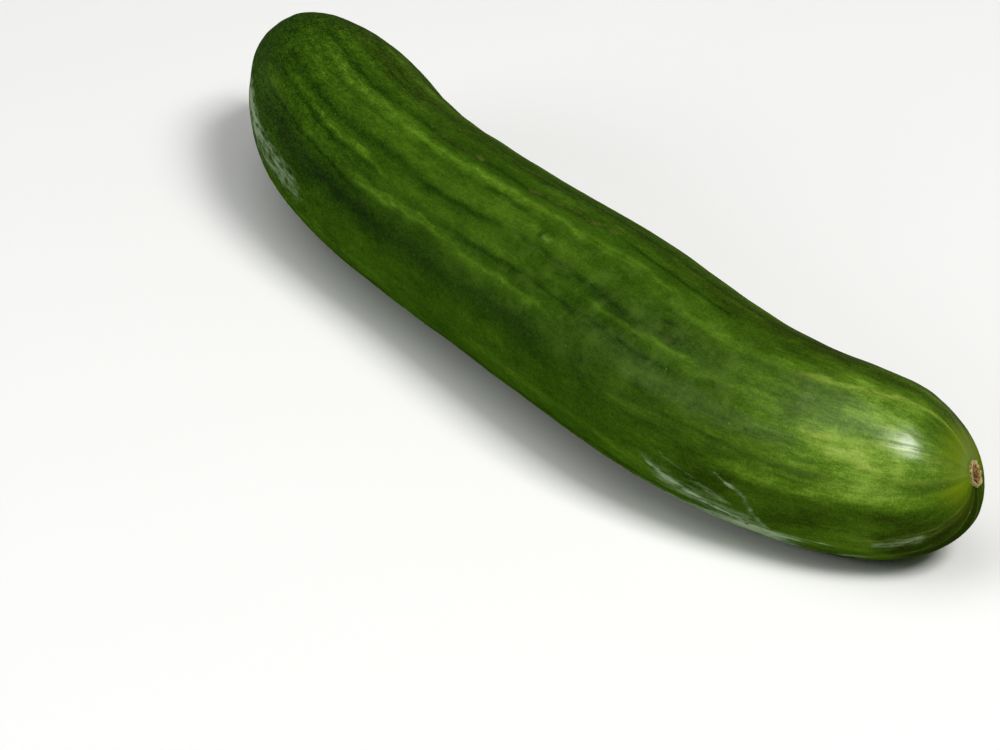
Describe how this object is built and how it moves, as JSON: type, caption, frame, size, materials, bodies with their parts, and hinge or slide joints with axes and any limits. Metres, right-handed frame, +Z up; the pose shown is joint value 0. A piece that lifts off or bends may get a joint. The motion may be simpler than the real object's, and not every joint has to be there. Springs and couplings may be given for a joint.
{
  "type": "cucumber",
  "caption": "Whole salad cucumber with smooth, faintly ribbed dark green skin, bent gently to one side and lying at rest, with a cut stalk stub and a dry blossom scar.",
  "frame": {"origin": "on the surface that the cucumber rests on, under the middle of its outline", "axes": "+X from the stalk end towards the blossom end, along the straight middle of the fruit; +Z up; both ends bend towards +Y"},
  "size_m": [0.3072, 0.0654, 0.0513],
  "materials": {
    "skin": "waxy satin skin, dark green with lighter lengthwise streaks, paler and yellower towards the blossom end",
    "dry_scar": "dry tan tissue with a crumbly brown middle, on the blossom scar",
    "cut_stalk": "dull fibrous green stalk with a dried pale cut face"
  },
  "bodies": {
    "root": {"cucumber": "skin"}
  },
  "joints": []
}
